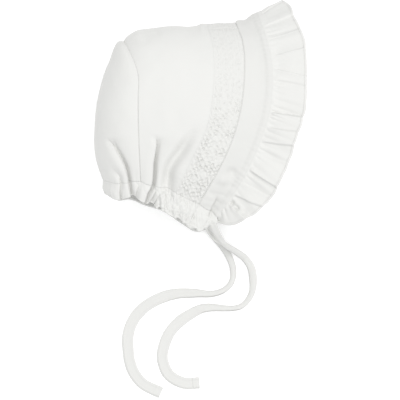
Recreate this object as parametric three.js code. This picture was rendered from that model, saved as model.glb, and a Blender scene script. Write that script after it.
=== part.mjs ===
// A baby's smocked bonnet of white cotton jersey, lying on its side with its two ties laid out.
// Millimetres. X runs from the back of the head to the face, Y from the neck to the crown,
// and Z is up from the surface that the bonnet lies on. Each piece of cloth is a thin closed wall.
import * as THREE from 'three';

// Cloth
const JERSEY_WALL = 1.6;
const SMOCKING_WALL = 2.2;
const BAND_WALL = 2.0;
const RUFFLE_WALL = 1.6;
const CASING_WALL = 2.6;
const SEAM_GAP = 0.3;
const JERSEY_ROUGHNESS = 0.95;
const WHITE = 0xf2f2f0;
const COOL_WHITE = 0xe8e9ec;
const WARM_WHITE = 0xeeeeeb;

// How the bonnet lies: the fold line of crown and back is held above the surface, and sinks at the neck
const FOLD_LINE_HEIGHT = 35;
const NECK_SAG = 6;

// The round crown takes this share of each side's depth over this share of its slope,
// and below it the side hangs straight
const CROWN_SHARE = 0.4;
const CROWN_SLOPE = 0.5;

// Seam lines of one side, seen from the side: x and y from the crown fold down to the neck.
// halfWidth is how far the seam stands from the fold line at its widest, neckHalfWidth at the neck.
const SEAMS = {
  back: {
    halfWidth: 37, neckHalfWidth: 26,
    line: [[-63.5, 59], [-55, 48], [-50, 32], [-49.5, 9], [-49, -15], [-47.5, -52.5]],
  },
  smocking: {
    halfWidth: 44, neckHalfWidth: 29,
    line: [[5, 73.5], [10, 53], [10.5, 25], [6, -6.5], [-5, -31], [-20, -61.5]],
  },
  frontBand: {
    halfWidth: 43.5, neckHalfWidth: 27,
    line: [[28, 74.5], [33.5, 58.5], [35, 37], [32, 5], [22, -28], [-1, -70.5]],
  },
  ruffle: {
    halfWidth: 43, neckHalfWidth: 24,
    line: [[45.5, 82], [52, 62.5], [57, 38.5], [56, 9], [48, -20], [32.5, -52.5], [13.5, -80.5]],
  },
  ruffleEdge: {
    halfWidth: 49, neckHalfWidth: 24,
    line: [[65.5, 92.2], [74.7, 78], [82.8, 59], [84, 20], [78.5, -13.5], [66, -47.5], [45.5, -76.5],
      [24.2, -87.2], [12.8, -85]],
  },
};

// Outlines that join the seams: the back of the head, the crown and the neck
const BACK_FOLD = [[-63.5, 59], [-70.5, 49.5], [-77, 31.5], [-82.5, 9.5], [-84, -15], [-83, -35],
  [-78, -52]];
const CROWN_FOLD = [[-63.5, 59], [-53, 66], [-32, 71], [-8, 71.5], [5, 73.5]];
const SMOCKING_FOLD = [[5, 73.5], [28, 74.5]];
const BAND_FOLD = [[28, 74.5], [45.5, 82]];
const RUFFLE_FOLD = [[45.5, 82], [65.5, 92.2]];
const BACK_NECK = [[-78, -52], [-64, -54.5], [-47.5, -52.5]];
const CROWN_NECK = [[-47.5, -52.5], [-35.5, -57.5], [-20, -61.5]];
const SMOCKING_NECK = [[-20, -61.5], [-1, -70.5]];
const BAND_NECK = [[-1, -70.5], [13.5, -80.5]];
const RUFFLE_NECK = [[13.5, -80.5], [12.8, -85]];
const NECK_HEM = [[-76, -63], [-67, -67.5], [-57, -66], [-44, -70.5], [-31.5, -74.5], [-15.5, -84],
  [-4.5, -90.8], [0.8, -92], [6, -89.7], [12.2, -86.2]];

// Soft folds on the upper side: each runs from one point to another as a dent of this depth and width
const DRAPE_FOLDS = [
  { fromX: -70, fromY: -20, toX: -57, toY: -56, depth: 2.6, width: 5 },
  { fromX: -35, fromY: -14, toX: -38, toY: -56, depth: 2.4, width: 6 },
  { fromX: -6, fromY: -14, toX: -24, toY: -54, depth: 2.6, width: 6 },
];

// Gathers of the ruffle
const RUFFLE_WAVES = 20;
const RUFFLE_WAVE_HEIGHT = 2.6;

// Neck casing: how far its middle stands proud, and how far elastic pulls the hem in
const CASING_BULGE = 1.2;
const CASING_PULL = 0.94;

// Facets of each wall, and the panel's least width, which sets how much of it a seam gap takes
const MESHES = {
  crown: { width: 30, columns: 12, rows: 40 },
  back: { width: 30, columns: 20, rows: 14 },
  smocking: { width: 20, columns: 4, rows: 40 },
  band: { width: 17, columns: 3, rows: 40 },
  ruffle: { width: 24, columns: 3, rows: 120 },
  casing: { width: 12, columns: 56, rows: 3 },
};
const SEAM_LENGTH = 140;
const SHORT_STEP = 0.002;

// The back panel comes to a point at the crown, and is cut off this share of the way down
const BACK_TOP = 0.04;

// The middle of the bonnet without its ties
const MIDDLE_X = 0.75;
const MIDDLE_Y = 1.42;

// Ties: flat tubes of jersey with rounded edges
const TIE_WIDTH = 8.8;
const TIE_THICKNESS = 2.4;
const TIE_FLAT_SHARE = 0.82;
const TIE_EDGE_SHARE = 0.4;
const TIE_STEPS = 48;

// Routes of the ties' middle lines, chosen by hand: from the casing's end down to the surface and along it
const TIE_NEAR_ROUTE = [
  [9.5, -89.9, 50.3], [11, -93.8, 42.5], [14.5, -98.5, 33], [21.2, -104, 19], [29, -108.8, 8.5],
  [36.2, -114.3, 2.4], [40.8, -121.3, 1.3], [42.5, -130.5, 1.3], [42, -139.5, 1.3], [39, -146.5, 1.3],
  [33.5, -152.2, 1.3], [27, -154, 1.3], [18, -154, 1.3], [9.5, -153.5, 1.3], [1, -154.5, 1.3],
  [-8, -159, 1.3], [-16, -164.5, 1.3], [-24, -173, 1.3], [-28.5, -182.5, 1.3], [-30.5, -192, 1.3],
  [-29.5, -199, 1.3], [-26, -206.5, 1.3], [-20, -211.5, 1.3], [-11.5, -214.5, 1.3], [-0.5, -214, 1.3],
];
const TIE_FAR_ROUTE = [
  [8.2, -89.6, 5.6], [13, -97.5, 2.6], [18.5, -105, 1.3], [23, -112.5, 1.3], [26, -120.5, 1.3],
  [26.5, -128.5, 1.3], [24, -135, 1.3], [19, -139.5, 1.3], [9.5, -142.5, 1.3], [-3.5, -142, 1.3],
  [-19.5, -142.5, 1.3], [-32, -146, 1.3], [-45, -153.5, 1.3], [-54, -164, 1.3], [-58, -176, 1.3],
  [-58, -186.5, 1.3], [-56.5, -197.5, 1.3], [-53, -206.5, 1.3], [-46.5, -214.5, 1.3], [-38.5, -219, 1.3],
  [-31.5, -222, 1.3],
];

// Plain helpers
const QUARTER_TURN = Math.PI / 2;
const mix = THREE.MathUtils.lerp;
const clamp = THREE.MathUtils.clamp;

function lineThrough(points) {
  const corners = points.map(([x, y]) => new THREE.Vector3(x, y, 0));
  if (corners.length === 2) return new THREE.LineCurve3(...corners);
  return new THREE.CatmullRomCurve3(corners, false, 'centripetal');
}

// How far down its seam line a point lies, for a share of the way from crown fold to neck
function dropShare(down) {
  if (down < CROWN_SLOPE) return CROWN_SHARE * (1 - Math.cos(QUARTER_TURN * down / CROWN_SLOPE));
  return mix(CROWN_SHARE, 1, (down - CROWN_SLOPE) / (1 - CROWN_SLOPE));
}

// How far a seam stands from the fold line there
function standOut(seam, down) {
  if (down < CROWN_SLOPE) return seam.halfWidth * Math.sin(QUARTER_TURN * down / CROWN_SLOPE);
  const below = (down - CROWN_SLOPE) / (1 - CROWN_SLOPE);
  return mix(seam.halfWidth, seam.neckHalfWidth, below * below);
}

// A patch of cloth between four outlines, seen from the side
function patch(rear, front, top, neck) {
  const rearLine = lineThrough(rear);
  const frontLine = lineThrough(front);
  const topLine = lineThrough(top);
  const neckLine = lineThrough(neck);
  return (acrossShare, dropped) => {
    const across = clamp(acrossShare, 0, 1);
    const drop = clamp(dropped, 0, 1);
    const sides = rearLine.getPointAt(drop).lerp(frontLine.getPointAt(drop), across);
    const ends = topLine.getPointAt(across).lerp(neckLine.getPointAt(across), drop);
    const topCorners = rearLine.getPointAt(0).lerp(frontLine.getPointAt(0), across);
    const neckCorners = rearLine.getPointAt(1).lerp(frontLine.getPointAt(1), across);
    return sides.add(ends).sub(topCorners.lerp(neckCorners, drop));
  };
}

function foldLineHeight(down) {
  return FOLD_LINE_HEIGHT - NECK_SAG * down * down;
}

// How deep the soft folds dent the cloth at a point. They lie on the upper side, above the fold line.
function drapeDent(spot) {
  let dent = 0;
  for (const fold of DRAPE_FOLDS) {
    const runX = fold.toX - fold.fromX;
    const runY = fold.toY - fold.fromY;
    const runSquared = runX * runX + runY * runY;
    const along = clamp(((spot.x - fold.fromX) * runX + (spot.y - fold.fromY) * runY) / runSquared, 0, 1);
    const away = Math.hypot(spot.x - fold.fromX - along * runX, spot.y - fold.fromY - along * runY);
    dent += fold.depth * along * Math.exp(-((away / fold.width) ** 2));
  }
  return spot.z > FOLD_LINE_HEIGHT ? dent : 0;
}

// One panel that goes over the crown: slope runs from -1 at the far neck to 1 at the near neck
function overCrown(rearSeam, frontSeam, top, neck) {
  const flat = patch(rearSeam.line, frontSeam.line, top, neck);
  return (across, slope) => {
    const down = Math.abs(slope);
    const spot = flat(across, dropShare(down));
    const stand = mix(standOut(rearSeam, down), standOut(frontSeam, down), across);
    spot.z = foldLineHeight(down) + Math.sign(slope) * stand;
    return spot;
  };
}

// The horseshoe at the back: turn runs from -1 at the far seam round the fold line to 1 at the near one
function roundBack() {
  const flat = patch(BACK_FOLD, SEAMS.back.line, [BACK_FOLD[0], BACK_FOLD[0]], BACK_NECK);
  return (turn, down) => {
    const angle = Math.abs(turn) * QUARTER_TURN;
    const spot = flat(1 - Math.cos(angle), dropShare(down));
    const stand = standOut(SEAMS.back, down) * Math.sin(angle);
    spot.z = foldLineHeight(down) + Math.sign(turn) * stand;
    return spot;
  };
}

const crownSurface = overCrown(SEAMS.back, SEAMS.smocking, CROWN_FOLD, CROWN_NECK);
const smockingSurface = overCrown(SEAMS.smocking, SEAMS.frontBand, SMOCKING_FOLD, SMOCKING_NECK);
const bandSurface = overCrown(SEAMS.frontBand, SEAMS.ruffle, BAND_FOLD, BAND_NECK);
const ruffleSurface = overCrown(SEAMS.ruffle, SEAMS.ruffleEdge, RUFFLE_FOLD, RUFFLE_NECK);
const backSurface = roundBack();

// Relief: how far the cloth stands out from its smooth surface
const smooth = () => 0;
const draped = (across, down, spot) => -drapeDent(spot);
const gathered = (across, slope) => RUFFLE_WAVE_HEIGHT * across * Math.sin(RUFFLE_WAVES * Math.PI * slope);
const padded = (way, fall, spot) => CASING_BULGE * Math.sin(Math.PI * fall) - drapeDent(spot) * (1 - fall);

// The neck casing hangs from the lower edges of back, crown, smocking and band, one after the other
function casingSurface() {
  const stretches = [
    { neck: BACK_NECK, edge: (share) => backSurface(share, 1) },
    { neck: CROWN_NECK, edge: (share) => crownSurface(share, 1) },
    { neck: SMOCKING_NECK, edge: (share) => smockingSurface(share, 1) },
    { neck: BAND_NECK, edge: (share) => bandSurface(share, 1) },
  ];
  const lengths = stretches.map((stretch) => lineThrough(stretch.neck).getLength());
  const whole = lengths.reduce((sum, length) => sum + length, 0);
  const hem = lineThrough(NECK_HEM);
  return (way, fall) => {
    let rest = Math.abs(way) * whole;
    let index = 0;
    while (index < stretches.length - 1 && rest > lengths[index]) {
      rest -= lengths[index];
      index += 1;
    }
    const share = clamp(rest / lengths[index], 0, 1);
    const turned = index === 0 ? Math.acos(1 - share) / QUARTER_TURN : share;
    const upper = stretches[index].edge(turned);
    const middle = foldLineHeight(1);
    const spot = upper.clone().lerp(hem.getPointAt(clamp(Math.abs(way), 0, 1)), fall);
    spot.z = middle + Math.sign(way) * (upper.z - middle) * mix(1, CASING_PULL, fall);
    return spot;
  };
}

// The outward direction of a surface, from two short steps along it
function outward(surface, across, down) {
  const onward = surface(across + SHORT_STEP, down).sub(surface(across - SHORT_STEP, down));
  const downward = surface(across, down + SHORT_STEP).sub(surface(across, down - SHORT_STEP));
  return downward.cross(onward).normalize();
}

// A closed wall: outer skin, inner skin and the four edges. Whatever would sink below the surface
// that the bonnet lies on is pressed flat on it.
function clothWall(surface, relief, span, wall) {
  const { across, down, columns, rows } = span;
  const positions = [];
  const indices = [];
  const perSkin = (columns + 1) * (rows + 1);
  const outer = (column, row) => row * (columns + 1) + column;
  const inner = (column, row) => perSkin + outer(column, row);
  const innerSkin = [];
  for (let row = 0; row <= rows; row += 1) {
    for (let column = 0; column <= columns; column += 1) {
      const a = mix(across[0], across[1], column / columns);
      const b = mix(down[0], down[1], row / rows);
      const normal = outward(surface, a, b);
      const spot = surface(a, b);
      spot.addScaledVector(normal, relief(a, b, spot));
      const inside = spot.clone().addScaledVector(normal, -wall);
      positions.push(spot.x, spot.y, Math.max(spot.z, 0));
      innerSkin.push(inside.x, inside.y, Math.max(inside.z, wall));
    }
  }
  positions.push(...innerSkin);
  const quad = (a, b, c, d) => indices.push(a, b, c, a, c, d);
  for (let row = 0; row < rows; row += 1) {
    for (let column = 0; column < columns; column += 1) {
      quad(outer(column, row), outer(column, row + 1), outer(column + 1, row + 1), outer(column + 1, row));
      quad(inner(column, row), inner(column + 1, row), inner(column + 1, row + 1), inner(column, row + 1));
    }
  }
  for (let column = 0; column < columns; column += 1) {
    quad(outer(column, 0), outer(column + 1, 0), inner(column + 1, 0), inner(column, 0));
    quad(outer(column + 1, rows), outer(column, rows), inner(column, rows), inner(column + 1, rows));
  }
  for (let row = 0; row < rows; row += 1) {
    quad(outer(0, row + 1), outer(0, row), inner(0, row), inner(0, row + 1));
    quad(outer(columns, row), outer(columns, row + 1), inner(columns, row + 1), inner(columns, row));
  }
  const geometry = new THREE.BufferGeometry();
  geometry.setAttribute('position', new THREE.Float32BufferAttribute(positions, 3));
  geometry.setIndex(indices);
  geometry.computeVertexNormals();
  return geometry;
}

// A route whose section stays level, so that a flat tie lies flat along it
class LevelRoute extends THREE.CatmullRomCurve3 {
  computeFrenetFrames(segments) {
    const up = new THREE.Vector3(0, 0, 1);
    const tangents = [];
    const normals = [];
    const binormals = [];
    for (let index = 0; index <= segments; index += 1) {
      const tangent = this.getTangentAt(index / segments);
      const sideways = up.clone().cross(tangent).normalize();
      tangents.push(tangent);
      normals.push(sideways);
      binormals.push(tangent.clone().cross(sideways));
    }
    return { tangents, normals, binormals };
  }
}

function tieTube(points) {
  const edge = TIE_WIDTH / 2;
  const flat = edge * TIE_FLAT_SHARE;
  const face = TIE_THICKNESS / 2;
  const rim = face * TIE_EDGE_SHARE;
  const outline = [[edge, rim], [flat, face], [-flat, face], [-edge, rim],
    [-edge, -rim], [-flat, -face], [flat, -face], [edge, -rim]];
  const section = new THREE.Shape(outline.map(([x, y]) => new THREE.Vector2(x, y)));
  const route = new LevelRoute(points.map(([x, y, z]) => new THREE.Vector3(x, y, z)), false, 'centripetal');
  return new THREE.ExtrudeGeometry(section, { steps: TIE_STEPS, extrudePath: route, bevelEnabled: false });
}

// Pieces
function jersey(color) {
  return new THREE.MeshStandardMaterial({ color, roughness: JERSEY_ROUGHNESS, metalness: 0 });
}

// The share of a length that half the seam gap takes
function halfGap(length) {
  return SEAM_GAP / 2 / length;
}

// The stretch of a panel that one piece covers, less the seam gaps round it
function overCrownSpan({ width, columns, rows }) {
  return {
    across: [halfGap(width), 1 - halfGap(width)],
    down: [-1 + halfGap(SEAM_LENGTH), 1 - halfGap(SEAM_LENGTH)],
    columns,
    rows,
  };
}

function backSpan({ width, columns, rows }) {
  return {
    across: [-1 + halfGap(width), 1 - halfGap(width)],
    down: [BACK_TOP, 1 - halfGap(SEAM_LENGTH)],
    columns,
    rows,
  };
}

function casingSpan({ width, columns, rows }) {
  return { across: [-1, 1], down: [halfGap(width), 1], columns, rows };
}

function addPiece(group, name, geometry, color) {
  const mesh = new THREE.Mesh(geometry, jersey(color));
  mesh.name = name;
  group.add(mesh);
}

const walls = {
  crown_panel: clothWall(crownSurface, draped, overCrownSpan(MESHES.crown), JERSEY_WALL),
  back_panel: clothWall(backSurface, draped, backSpan(MESHES.back), JERSEY_WALL),
  smocked_band: clothWall(smockingSurface, smooth, overCrownSpan(MESHES.smocking), SMOCKING_WALL),
  front_band: clothWall(bandSurface, smooth, overCrownSpan(MESHES.band), BAND_WALL),
  ruffle: clothWall(ruffleSurface, gathered, overCrownSpan(MESHES.ruffle), RUFFLE_WALL),
  neck_casing: clothWall(casingSurface(), padded, casingSpan(MESHES.casing), CASING_WALL),
};

const bonnet = new THREE.Group();
addPiece(bonnet, 'crown_panel', walls.crown_panel, WHITE);
addPiece(bonnet, 'back_panel', walls.back_panel, COOL_WHITE);
addPiece(bonnet, 'smocked_band', walls.smocked_band, WARM_WHITE);
addPiece(bonnet, 'front_band', walls.front_band, WARM_WHITE);
addPiece(bonnet, 'ruffle', walls.ruffle, WHITE);
addPiece(bonnet, 'neck_casing', walls.neck_casing, WARM_WHITE);
addPiece(bonnet, 'tie_near', tieTube(TIE_NEAR_ROUTE), WARM_WHITE);
addPiece(bonnet, 'tie_far', tieTube(TIE_FAR_ROUTE), WARM_WHITE);

// The middle of the bonnet without its ties comes to stand over the origin
bonnet.position.set(-MIDDLE_X, -MIDDLE_Y, 0);

export default bonnet;
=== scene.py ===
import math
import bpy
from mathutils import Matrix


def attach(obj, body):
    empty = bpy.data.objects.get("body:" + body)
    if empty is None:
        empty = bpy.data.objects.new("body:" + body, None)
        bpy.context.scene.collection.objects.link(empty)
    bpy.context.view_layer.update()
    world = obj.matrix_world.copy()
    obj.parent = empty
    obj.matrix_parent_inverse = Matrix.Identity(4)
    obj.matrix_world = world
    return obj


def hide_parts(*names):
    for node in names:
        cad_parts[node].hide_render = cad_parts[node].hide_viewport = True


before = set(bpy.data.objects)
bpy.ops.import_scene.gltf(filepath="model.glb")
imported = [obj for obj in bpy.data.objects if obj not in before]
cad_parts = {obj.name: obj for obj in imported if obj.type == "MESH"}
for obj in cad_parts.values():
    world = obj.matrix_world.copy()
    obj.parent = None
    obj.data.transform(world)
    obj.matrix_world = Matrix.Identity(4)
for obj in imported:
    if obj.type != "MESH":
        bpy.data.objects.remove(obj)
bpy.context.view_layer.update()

# A baby's smocked bonnet of white cotton jersey, lying on its side with its two ties laid out.
# Everything is in metres. X runs from the back of the head to the face, Y from the neck to the crown,
# and Z is up from the surface that the bonnet lies on.
from types import SimpleNamespace

import bpy
import numpy as np


def named_rows(columns, rows):
    """A table's rows, each with its values by the names of the columns."""
    return [dict(zip(columns.split(), row)) for row in rows]


# The picture's frame: its centre over the floor, the width that it covers, and a long lens straight above
VIEW_CENTRE = (-0.0009, -0.0685)
VIEW_WIDTH = 0.320
VIEW_HEIGHT = 4.0
VIEW_PLANE = 0.022
SENSOR_WIDTH = 36.0

# Cloth thickness
JERSEY = 0.0016
SMOCKING = 0.0020
BAND = 0.0020
RUFFLE = 0.0018
CASING = 0.0026

# How the bonnet lies: just over the floor, with the cloth that faces down pressed to a share of its wall
OVER_FLOOR = 0.00005
LYING_NORMAL = -0.3
PRESSED_SHARE = 0.55
FOLD_LINE_HEIGHT = 0.035
NECK_SAG = 0.006
CROWN_SHARE = 0.4
CASING_PULL = 0.94

# Where the frame's origin lies in the outlines and routes below
MIDDLE = np.array([0.00075, 0.00142, 0.0])

# Seam lines of one side from the crown fold to the neck, and how far each stands from the fold line
SEAMS = {seam["name"]: seam for seam in named_rows("name half_width neck_half_width line", [
    ("back", 0.037, 0.026, [(-0.06, 0.059), (-0.0568, 0.052), (-0.0523, 0.0417), (-0.0492, 0.03),
      (-0.0494, 0.015), (-0.049, -0.015), (-0.0475, -0.0525)]),
    ("smocking", 0.044, 0.029, [(0.005, 0.0735), (0.01, 0.053), (0.0105, 0.025), (0.006, -0.0065),
      (-0.005, -0.031), (-0.02, -0.0615)]),
    ("front_band", 0.0435, 0.027, [(0.028, 0.0745), (0.0335, 0.0585), (0.035, 0.037), (0.032, 0.005),
      (0.022, -0.028), (-0.001, -0.0705)]),
    ("ruffle", 0.043, 0.024, [(0.0455, 0.082), (0.052, 0.0625), (0.057, 0.0385), (0.056, 0.009),
      (0.048, -0.02), (0.0325, -0.0525), (0.0135, -0.0805)]),
    ("ruffle_edge", 0.049, 0.024, [(0.0655, 0.0922), (0.07, 0.0897), (0.0722, 0.0857), (0.0747, 0.078),
      (0.0792, 0.069), (0.0828, 0.059), (0.084, 0.048), (0.084, 0.02), (0.0822, 0), (0.0785, -0.0135),
      (0.066, -0.0475), (0.059, -0.062), (0.0455, -0.0765), (0.03, -0.0858), (0.0242, -0.0872),
      (0.018, -0.0865), (0.0128, -0.085)]),
])}

# Outlines of the panels along the crown fold and the neck, where they aren't straight from seam to seam
BACK_FOLD = [(-0.06, 0.059), (-0.0643, 0.0596), (-0.0668, 0.0578), (-0.069, 0.0537), (-0.0722, 0.045),
             (-0.077, 0.0325), (-0.0825, 0.01), (-0.0842, -0.015), (-0.0832, -0.035), (-0.078, -0.052)]
CROWN_FOLD = [(-0.06, 0.059), (-0.0578, 0.0622), (-0.0546, 0.0655), (-0.05, 0.068), (-0.04, 0.0697),
              (-0.024, 0.0717), (-0.008, 0.0715), (0.005, 0.0735)]
BACK_NECK = [(-0.078, -0.052), (-0.064, -0.0545), (-0.0475, -0.0525)]
CROWN_NECK = [(-0.0475, -0.0525), (-0.0355, -0.0575), (-0.02, -0.0615)]
NECK_HEM = [(-0.076, -0.063), (-0.067, -0.0675), (-0.057, -0.066), (-0.044, -0.0705), (-0.0315, -0.0745),
            (-0.0155, -0.084), (-0.0045, -0.0908), (0.0008, -0.092), (0.006, -0.0897), (0.014, -0.0858)]

# Soft folds of the upper side, drawn down to the neck. Behind each line the cloth stands up as a lip that
# leans over the fold by its tuck, and in front it rises again over its spread, apart from a share of its
# depth that is a narrow crease. A fold starts soft and turns sharp between two shares of its length.
DRAPE_FOLDS = named_rows("depth lip spread tuck crease sharp points", [
    (0.0074, 0.0005, 0.0060, 0.0020, 0.36, (0, 0.2),
     [(-0.073, -0.016), (-0.0712, -0.0225), (-0.0682, -0.0283), (-0.065, -0.0334), (-0.0612, -0.0407),
      (-0.0592, -0.0479), (-0.058, -0.0543), (-0.0568, -0.0607), (-0.0558, -0.0665)]),
    (0.0036, 0.0004, 0.0034, 0.0010, 0.3, (0.1, 0.6),
     [(-0.0714, -0.037), (-0.0682, -0.0431), (-0.065, -0.0487), (-0.0642, -0.0527), (-0.064, -0.0591),
      (-0.0646, -0.067)]),
    (0.0074, 0.0004, 0.0060, 0.0018, 0.36, (0, 0.2),
     [(-0.034, -0.0145), (-0.0349, -0.0231), (-0.0363, -0.0311), (-0.0376, -0.0391), (-0.0381, -0.0471),
      (-0.0387, -0.0527), (-0.0398, -0.0575), (-0.0423, -0.0623), (-0.0441, -0.0679)]),
    (0.0064, 0.0004, 0.0050, 0.0006, 0, (0.6, 1.8),
     [(0.0012, -0.003), (-0.004, -0.0105), (-0.0098, -0.0195), (-0.0152, -0.0278), (-0.0208, -0.0355),
      (-0.0256, -0.044), (-0.0273, -0.053), (-0.0278, -0.06)]),
    (0.0024, 0.0003, 0.0026, 0.0006, 0.5, (0, 0.3),
     [(-0.0478, -0.0535), (-0.05, -0.06), (-0.0522, -0.0665)]),
    (0.0032, 0.0006, 0.0016, 0.0008, 0.5, (0, 0.3),
     [(-0.0344, -0.059), (-0.0374, -0.0645), (-0.041, -0.07)]),
    (0.0032, 0.0006, 0.0016, 0.0008, 0.5, (0, 0.3),
     [(-0.031, -0.061), (-0.034, -0.066), (-0.0378, -0.0715)]),
    (0.0010, 0.0002, 0.0016, 0.0002, 0.5, (0, 0.3), [(0, -0.069), (-0.0042, -0.077), (-0.0074, -0.084)]),
    (0.0026, 0.0004, 0.0040, 0.0008, 0.4, (0.1, 0.5),
     [(0.015, -0.0607), (0.0134, -0.0663), (0.0102, -0.0719), (0.0074, -0.0783)]),
    (0.0009, 0.0002, 0.0038, 0, 0, (1, 2), [(-0.059, 0.056), (-0.053, 0.0592), (-0.044, 0.0603)]),
    (0.0011, 0.0002, 0.0042, 0, 0, (1, 2), [(-0.052, 0.0632), (-0.044, 0.0652), (-0.0355, 0.0664)]),
])

# The form of a fold: how wide its crease is, over what distance the cloth behind it sinks where the fold is
# soft and where it is sharp, and how far behind the line its lip and its tuck lie
CREASE_WIDTH = 0.0024
SOFT_BACK = 0.0042
SHARP_BACK = 0.0009
LIP = {"behind": 0.0042, "width": 0.0034}
TUCK = {"behind": 0.0014, "width": 0.0011}
UNDERCUT = {"ahead": 0.0002, "width": 0.0009, "share": 0.8}
FOLD_REACH = 0.03
LOWEST_FOLD = 0.02

# Small soft dents and swellings of the upper side
DENTS = named_rows("x y depth size", [
    (0.0251, -0.0454, 0.0020, 0.0036),
    (0.0184, -0.0519, -0.0017, 0.0042),
    (-0.0290, -0.0625, -0.0016, 0.0042),
    (-0.0235, -0.0520, 0.0010, 0.0060),
    (0.0245, -0.0700, 0.0022, 0.0017),
    (0.0290, -0.0735, 0.0020, 0.0018),
    (0.0345, -0.0768, 0.0012, 0.0024),
])

# Places along the crown's fold line where gathered seams make the cloth stand up
TOP_BUMPS = named_rows("x height size", [
    (-0.0590, 0.0012, 0.0035),
    (0.0012, 0.0009, 0.0024),
    (0.0140, 0.0003, 0.0030),
    (0.0305, 0.0015, 0.0030),
    (0.0398, 0.0013, 0.0034),
    (0.0505, 0.0006, 0.0026),
])

# Ruffle folds of the upper side, placed by how far down the seam and the outer edge they run, from crown
# fold to neck. rise is the height of the lip, and lean its side: 1 towards the neck, -1 towards the crown.
RUFFLE_FOLDS = named_rows("at_seam at_edge rise lean spread", [
    (0.085, 0.060, 0.0008, 1, 0.030),
    (0.191, 0.190, 0.0007, 1, 0.040),
    (0.265, 0.262, 0.0007, -1, 0.030),
    (0.345, 0.335, 0.0008, -1, 0.030),
    (0.395, 0.425, 0.0011, -1, 0.028),
    (0.433, 0.452, 0.0006, 1, 0.030),
    (0.555, 0.544, 0.0024, -1, 0.036),
    (0.612, 0.590, 0.0013, -1, 0.024),
    (0.670, 0.634, 0.0014, 1, 0.036),
    (0.715, 0.690, 0.0005, -1, 0.025),
    (0.784, 0.770, 0.0020, 1, 0.036),
    (0.838, 0.806, 0.0005, -1, 0.020),
    (0.895, 0.843, 0.0014, 1, 0.030),
    (0.930, 0.900, 0.0022, -1, 0.022),
])

# A full fold notches the ruffle's edge by this share of its width, over this share of its length
FULL_FOLD = 0.0028
NOTCH_DEPTH = 0.040
NOTCH_SIZE = 0.011

# Gaps in the gathered hem of the upper side, where the rim is drawn up
HEM_LIFTS = named_rows("x lift size", [
    (-0.0545, 0.0022, 0.0028),
    (-0.0495, 0.0014, 0.0030),
    (-0.0400, 0.0018, 0.0024),
    (-0.0645, 0.0010, 0.0018),
])

# The upper hem is ragged in front of the first stretch. Between the two others the lower hem reaches
# further, so that it shows below the upper one.
RAGGED_FROM = (-0.045, -0.035)
RAGGED_HEIGHT = 0.0017
RAGGED_PITCH = 0.0024
LOWER_HEM_FROM = (-0.068, -0.055)
LOWER_HEM_TO = (0.004, -0.008)
LOWER_HEM_REACH = (1.02, 1.09)

# Ties: flat tubes that roll up narrower and rounder in places. Each one's middle comes down from the bonnet
# and then lies along the surface, and the near one starts inside the casing. The other tables say, by
# distance from the bonnet, how many degrees the tie is tilted, how wide and thick it is, and how deep a
# trough runs down its left half. The edge away from ROLLED_SIDE is rolled under.
TIE_WIDTH = 0.0088
TIE_LYING_HEIGHT = 0.0013
TIE_HEM = 0.006
TIE_END = 0.0006
TIE_SMOOTHING = 14
ROUND_TO_FLAT = (0.0058, 0.0084)
FLAT_POWER = 0.72
ROLLED_SIDE = np.array([0.6, 0.8, 0.0])
TIES = {
    "near": {
        "length": 0.235,
        "coming_down": [(0.008, -0.0868, 0.0515), (0.0104, -0.0925, 0.044), (0.0145, -0.0985, 0.033),
                        (0.0212, -0.104, 0.019), (0.029, -0.1088, 0.0085), (0.0362, -0.1143, 0.0024)],
        "lying": [(0.0408, -0.1213), (0.0425, -0.1305), (0.042, -0.1395), (0.039, -0.1465),
                  (0.0335, -0.1522), (0.027, -0.154), (0.018, -0.154), (0.0095, -0.1535),
                  (0.001, -0.1545), (-0.008, -0.159), (-0.016, -0.1645), (-0.024, -0.173),
                  (-0.0285, -0.1825), (-0.0305, -0.192), (-0.0295, -0.199), (-0.026, -0.2065),
                  (-0.02, -0.2115), (-0.0115, -0.2145), (-0.0005, -0.214)],
        "turn": [(0, 0), (0.03, 12), (0.06, 15), (0.11, 10), (0.15, 0)],
        "width": [(0, 0.0104), (0.012, 0.0102), (0.022, 0.0082), (0.034, 0.0048), (0.05, 0.0052),
                  (0.064, 0.0058), (0.076, 0.0066), (0.086, 0.0062), (0.096, 0.0048), (0.106, 0.0042),
                  (0.116, 0.0042), (0.124, 0.005), (0.134, 0.0064), (0.146, 0.008), (0.158, 0.009)],
        "thickness": [(0, 0.0026), (0.016, 0.0028), (0.034, 0.0036), (0.06, 0.0038), (0.1, 0.0038),
                      (0.114, 0.0036), (0.134, 0.0032), (0.15, 0.0024)],
        "droop": [(0, 0.0026), (0.01, 0.004), (0.02, 0.0042), (0.03, 0.002), (0.04, 0)],
        "hem": 1,
    },
    "far": {
        "length": 0.212,
        "coming_down": [(0.0082, -0.0896, 0.0056), (0.013, -0.0975, 0.0026)],
        "lying": [(0.0185, -0.105), (0.023, -0.1125), (0.026, -0.1205), (0.0265, -0.1285),
                  (0.024, -0.135), (0.019, -0.1395), (0.0095, -0.1425), (-0.0035, -0.142),
                  (-0.0195, -0.1425), (-0.032, -0.146), (-0.045, -0.1535), (-0.054, -0.164),
                  (-0.058, -0.176), (-0.058, -0.1865), (-0.0565, -0.1975), (-0.053, -0.2065),
                  (-0.0465, -0.2145), (-0.0385, -0.219), (-0.0315, -0.222)],
        "turn": [(0, 5), (0.02, 12), (0.06, 12), (0.09, 0)],
        "width": [(0, 0.0085), (0.02, 0.0058), (0.05, 0.0046), (0.066, 0.0046), (0.076, 0.0058),
                  (0.086, 0.0077), (0.11, 0.009)],
        "thickness": [(0, 0.0026), (0.02, 0.0034), (0.06, 0.0036), (0.09, 0.0028), (0.11, 0.0024)],
        "droop": [(0, 0.001), (0.02, 0)],
        "hem": 0.4,
    },
}

# How far from a seam cloth is drawn to its neighbour: in metres at the back, else as a share of its width
SEWN_REACH = {"back": 0.006, "casing": 0.4, "panels": 0.22}

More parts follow.
